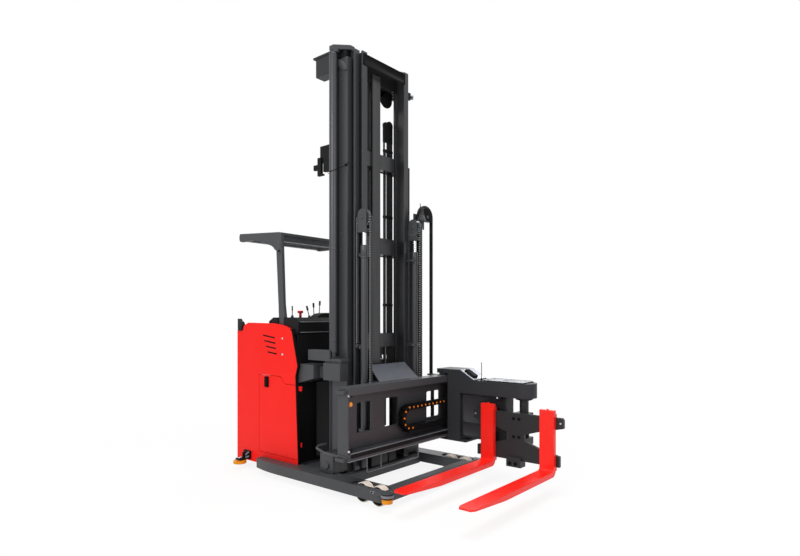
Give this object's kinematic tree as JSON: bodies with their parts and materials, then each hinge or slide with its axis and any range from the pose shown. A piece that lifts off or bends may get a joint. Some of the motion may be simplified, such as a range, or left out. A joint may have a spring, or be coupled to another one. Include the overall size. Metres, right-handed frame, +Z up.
{
  "type": "turret truck",
  "caption": "Stand-on three-way stacking truck: telescopic mast, traversing turret head with swivelling forks, overhead guard and low base legs.",
  "frame": {"origin": "on the floor under the middle of the whole truck's box", "axes": "+X forward, from the operator towards the forks; +Y to the operator's left; +Z up"},
  "size_m": [2.8316, 1.514, 3.665],
  "materials": {
    "frame_grey": "satin",
    "mast_grey": "satin",
    "body_red": "gloss",
    "body_black": "satin",
    "plastic_black": "matte",
    "chrome_rod": "polished",
    "steel": "brushed",
    "wheel_cream": "matte",
    "roller_yellow": "matte",
    "drive_tyre": "matte",
    "chain_steel": "oiled",
    "cast": "rough",
    "battery_case": "satin",
    "rubber_mat": "ribbed"
  },
  "bodies": {
    "chassis": {"base_frame": "frame_grey", "load_axles": "steel", "guide_roller_brackets": "body_black", "body_panel_left": "body_red", "body_panel_right": "body_red", "front_cover": "body_black", "battery": "battery_case", "console": "plastic_black", "console_controls": "plastic_black", "operator_platform": "rubber_mat", "drive_cover": "body_black", "corner_horns": "plastic_black", "overhead_guard": "frame_grey", "outer_mast": "mast_grey", "mast_sensor": "body_black", "lift_cylinders": "mast_grey", "mast_brackets": "frame_grey"},
    "drive_turntable": {"drive_unit": "cast"},
    "drive_wheel": {"drive_wheel": "drive_tyre"},
    "door_left": {"service_door_left": "body_red"},
    "door_right": {"service_door_right": "body_red"},
    "steering_wheel": {"steering_wheel": "plastic_black"},
    "mid_stage": {"mid_mast": "mast_grey", "lift_rods": "chrome_rod", "mast_shelf": "mast_grey", "mid_hoses": "plastic_black"},
    "inner_stage": {"inner_mast": "mast_grey", "freelift_cylinders": "mast_grey", "freelift_clamps": "mast_grey", "chain_rear_falls": "chain_steel", "hose_rear_fall": "plastic_black"},
    "freelift": {"freelift_heads": "mast_grey", "freelift_rods": "chrome_rod", "chain_front_falls": "chain_steel", "hose_front_fall": "plastic_black"},
    "carriage": {"lift_carriage": "frame_grey", "traverse_frame": "frame_grey", "sign_plate": "steel", "energy_chain": "plastic_black"},
    "head": {"turret_head": "frame_grey", "head_fittings": "plastic_black"},
    "forks": {"fork_plate": "mast_grey", "fork_inner": "body_red", "fork_outer": "body_red"},
    "load_wheel_front_left": {"load_wheel_front_left": "wheel_cream"},
    "load_wheel_front_right": {"load_wheel_front_right": "wheel_cream"},
    "load_wheel_rear_left": {"load_wheel_rear_left": "wheel_cream"},
    "load_wheel_rear_right": {"load_wheel_rear_right": "wheel_cream"},
    "guide_roller_front_left": {"guide_roller_front_left": "roller_yellow"},
    "guide_roller_front_right": {"guide_roller_front_right": "roller_yellow"},
    "guide_roller_rear_left": {"guide_roller_rear_left": "roller_yellow"},
    "guide_roller_rear_right": {"guide_roller_rear_right": "roller_yellow"}
  },
  "joints": [
    {"name": "mid_lift", "type": "slide", "parent": "chassis", "child": "mid_stage", "axis": [0, 0, 1], "range_m": [0, 2.2]},
    {"name": "inner_lift", "type": "slide", "parent": "mid_stage", "child": "inner_stage", "axis": [0, 0, 1], "range_m": [0, 2.2]},
    {"name": "free_lift", "type": "slide", "parent": "inner_stage", "child": "freelift", "axis": [0, 0, 1], "range_m": [0, 1.25], "deforming": ["chain_rear_falls", "hose_rear_fall"]},
    {"name": "carriage_lift", "type": "slide", "parent": "freelift", "child": "carriage", "axis": [0, 0, 1], "range_m": [0, 1.25], "deforming": ["chain_front_falls", "hose_front_fall"]},
    {"name": "head_traverse", "type": "slide", "parent": "carriage", "child": "head", "axis": [0, -1, 0], "range_m": [0, 1.3]},
    {"name": "fork_swivel", "type": "hinge", "parent": "head", "child": "forks", "pos_m": [1.00575, 0.65, 0.6], "axis": [0, 0, 1], "range_deg": [0, 180]},
    {"name": "drive_steer", "type": "hinge", "parent": "chassis", "child": "drive_turntable", "pos_m": [-1.12575, 0.262, 0.15], "axis": [0, 0, 1], "range_deg": [-90, 90]},
    {"name": "drive_spin", "type": "hinge", "parent": "drive_turntable", "child": "drive_wheel", "pos_m": [-1.12575, 0.262, 0.15], "axis": [0, 1, 0], "continuous": true},
    {"name": "door_left_hinge", "type": "hinge", "parent": "chassis", "child": "door_left", "pos_m": [-0.51375, 0.503, 0.5], "axis": [0, 0, -1], "range_deg": [0, 95]},
    {"name": "door_right_hinge", "type": "hinge", "parent": "chassis", "child": "door_right", "pos_m": [-0.51375, -0.503, 0.5], "axis": [0, 0, 1], "range_deg": [0, 95]},
    {"name": "steering_wheel_turn", "type": "hinge", "parent": "chassis", "child": "steering_wheel", "pos_m": [-0.83575, 0.15, 1.422], "axis": [0, 0, 1], "continuous": true},
    {"name": "load_wheel_front_left_spin", "type": "hinge", "parent": "chassis", "child": "load_wheel_front_left", "pos_m": [0.46625, 0.57, 0.075], "axis": [0, 1, 0], "continuous": true},
    {"name": "load_wheel_front_right_spin", "type": "hinge", "parent": "chassis", "child": "load_wheel_front_right", "pos_m": [0.46625, -0.57, 0.075], "axis": [0, 1, 0], "continuous": true},
    {"name": "load_wheel_rear_left_spin", "type": "hinge", "parent": "chassis", "child": "load_wheel_rear_left", "pos_m": [0.30725, 0.57, 0.075], "axis": [0, 1, 0], "continuous": true},
    {"name": "load_wheel_rear_right_spin", "type": "hinge", "parent": "chassis", "child": "load_wheel_rear_right", "pos_m": [0.30725, -0.57, 0.075], "axis": [0, 1, 0], "continuous": true},
    {"name": "guide_roller_front_left_spin", "type": "hinge", "parent": "chassis", "child": "guide_roller_front_left", "pos_m": [0.59525, 0.642, 0.077], "axis": [0, 0, 1], "continuous": true},
    {"name": "guide_roller_front_right_spin", "type": "hinge", "parent": "chassis", "child": "guide_roller_front_right", "pos_m": [0.59525, -0.642, 0.077], "axis": [0, 0, 1], "continuous": true},
    {"name": "guide_roller_rear_left_spin", "type": "hinge", "parent": "chassis", "child": "guide_roller_rear_left", "pos_m": [-1.23575, 0.622, 0.064], "axis": [0, 0, 1], "continuous": true},
    {"name": "guide_roller_rear_right_spin", "type": "hinge", "parent": "chassis", "child": "guide_roller_rear_right", "pos_m": [-1.23575, -0.622, 0.064], "axis": [0, 0, 1], "continuous": true}
  ],
  "couplings": [
    {"joint": "inner_lift", "follows": "mid_lift", "ratio": 1},
    {"joint": "free_lift", "follows": "carriage_lift", "ratio": 1}
  ]
}
